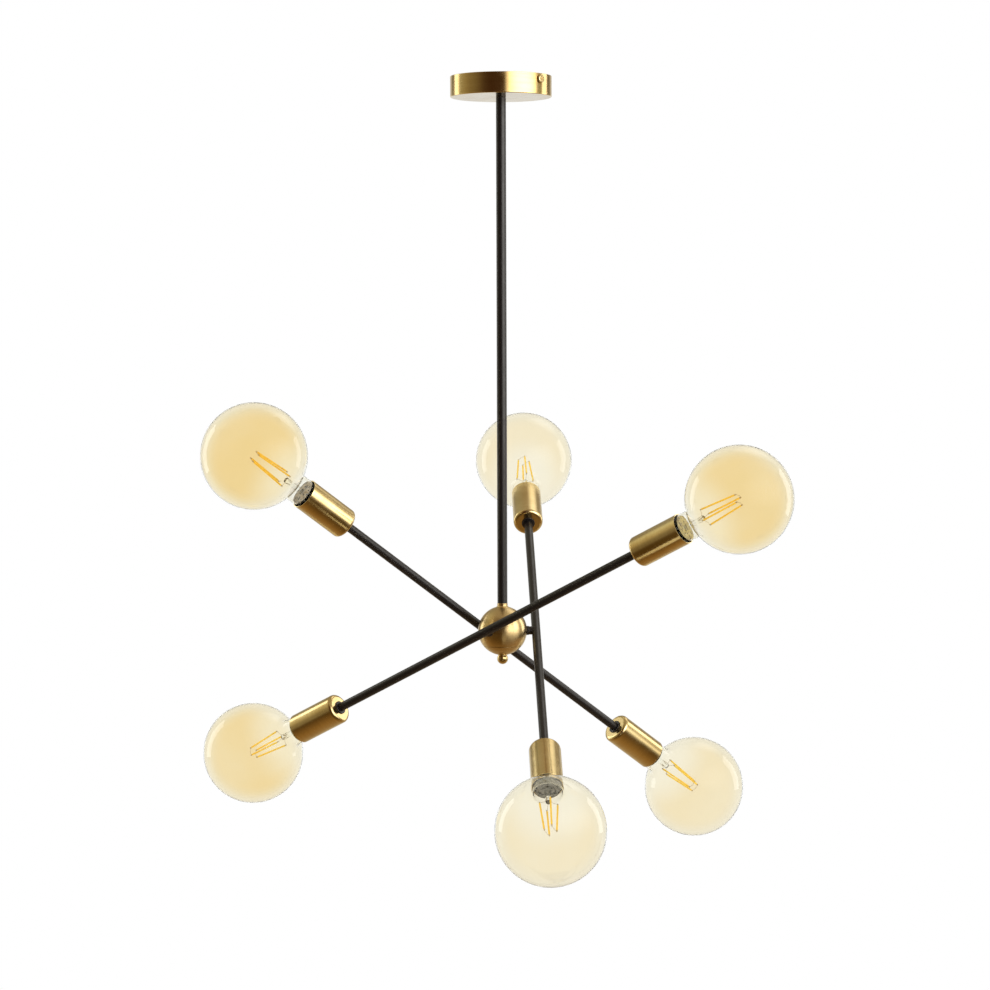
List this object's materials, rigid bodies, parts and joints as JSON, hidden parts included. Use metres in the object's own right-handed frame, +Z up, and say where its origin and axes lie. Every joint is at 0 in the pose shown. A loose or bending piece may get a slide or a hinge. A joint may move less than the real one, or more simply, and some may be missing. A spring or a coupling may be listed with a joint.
{
  "type": "pendant light",
  "caption": "Ceiling pendant light: round brass canopy, straight black stem and a ball hub whose swivelling arms carry brass cups with amber globe bulbs at both ends.",
  "frame": {"origin": "on the ceiling plane at the canopy's axis, in the middle of the bracket's upper face", "axes": "+Z up, square to the ceiling; the front, from which the picture looks, is -Y; +X is to its right"},
  "size_m": [0.707, 0.7786, 0.9423],
  "materials": {
    "satin_brass": "satin lacquered brass",
    "black_satin": "satin black powder coat",
    "zinc_steel": "zinc plated",
    "nickel": "nickel plated",
    "white_plastic": "moulded",
    "lead_insulation": "soft insulation",
    "holder_plastic": "moulded phenolic",
    "clear_glass": "clear glass",
    "amber_glass": "clear glass with a pale amber tint",
    "filament": "yellow phosphor coated rod"
  },
  "bodies": {
    "fixture": {"ceiling_bracket": "zinc_steel", "earth_screw": "zinc_steel", "terminal_block": "white_plastic", "canopy": "satin_brass", "canopy_screws": "satin_brass", "canopy_nut": "zinc_steel", "stem_nipples": "zinc_steel", "stem_tube": "black_satin", "stem_leads": "lead_insulation", "hub_ball": "satin_brass", "hub_cap": "satin_brass", "finial": "satin_brass", "hub_connector": "white_plastic", "swivel_sleeves": "black_satin", "friction_washers": "zinc_steel"},
    "front_arm": {"front_arm_tube": "black_satin", "front_arm_swivel": "black_satin", "front_swivel_nut": "zinc_steel", "front_arm_leads": "lead_insulation", "front_cup_collars": "black_satin", "front_lampholders": "holder_plastic", "front_screw_shells": "nickel", "front_bulb_stems": "clear_glass", "front_filaments": "filament", "front_high_cup": "satin_brass", "front_high_bulb_cap": "nickel", "front_high_globe": "amber_glass", "front_low_cup": "satin_brass", "front_low_bulb_cap": "nickel", "front_low_globe": "amber_glass"},
    "right_arm": {"right_arm_tube": "black_satin", "right_arm_swivel": "black_satin", "right_swivel_nut": "zinc_steel", "right_arm_leads": "lead_insulation", "right_cup_collars": "black_satin", "right_lampholders": "holder_plastic", "right_screw_shells": "nickel", "right_bulb_stems": "clear_glass", "right_filaments": "filament", "right_high_cup": "satin_brass", "right_high_bulb_cap": "nickel", "right_high_globe": "amber_glass", "right_low_cup": "satin_brass", "right_low_bulb_cap": "nickel", "right_low_globe": "amber_glass"},
    "rear_arm": {"rear_arm_tube": "black_satin", "rear_arm_swivel": "black_satin", "rear_swivel_nut": "zinc_steel", "rear_arm_leads": "lead_insulation", "rear_cup_collars": "black_satin", "rear_lampholders": "holder_plastic", "rear_screw_shells": "nickel", "rear_bulb_stems": "clear_glass", "rear_filaments": "filament", "rear_high_cup": "satin_brass", "rear_high_bulb_cap": "nickel", "rear_high_globe": "amber_glass", "rear_low_cup": "satin_brass", "rear_low_bulb_cap": "nickel", "rear_low_globe": "amber_glass"}
  },
  "joints": [
    {"name": "front_arm_swing", "type": "hinge", "parent": "fixture", "child": "front_arm", "pos_m": [-0.02206, -0.03397, -0.6665], "axis": [-0.5446, -0.8387, 0], "range_deg": [-15.2, 49.8]},
    {"name": "right_arm_swing", "type": "hinge", "parent": "fixture", "child": "right_arm", "pos_m": [0.04048, 0.00141, -0.6665], "axis": [0.9994, 0.0349, 0], "range_deg": [-21.5, 43.5]},
    {"name": "rear_arm_swing", "type": "hinge", "parent": "fixture", "child": "rear_arm", "pos_m": [-0.02236, 0.03378, -0.6665], "axis": [-0.5519, 0.8339, 0], "range_deg": [-23.8, 41.2]}
  ]
}
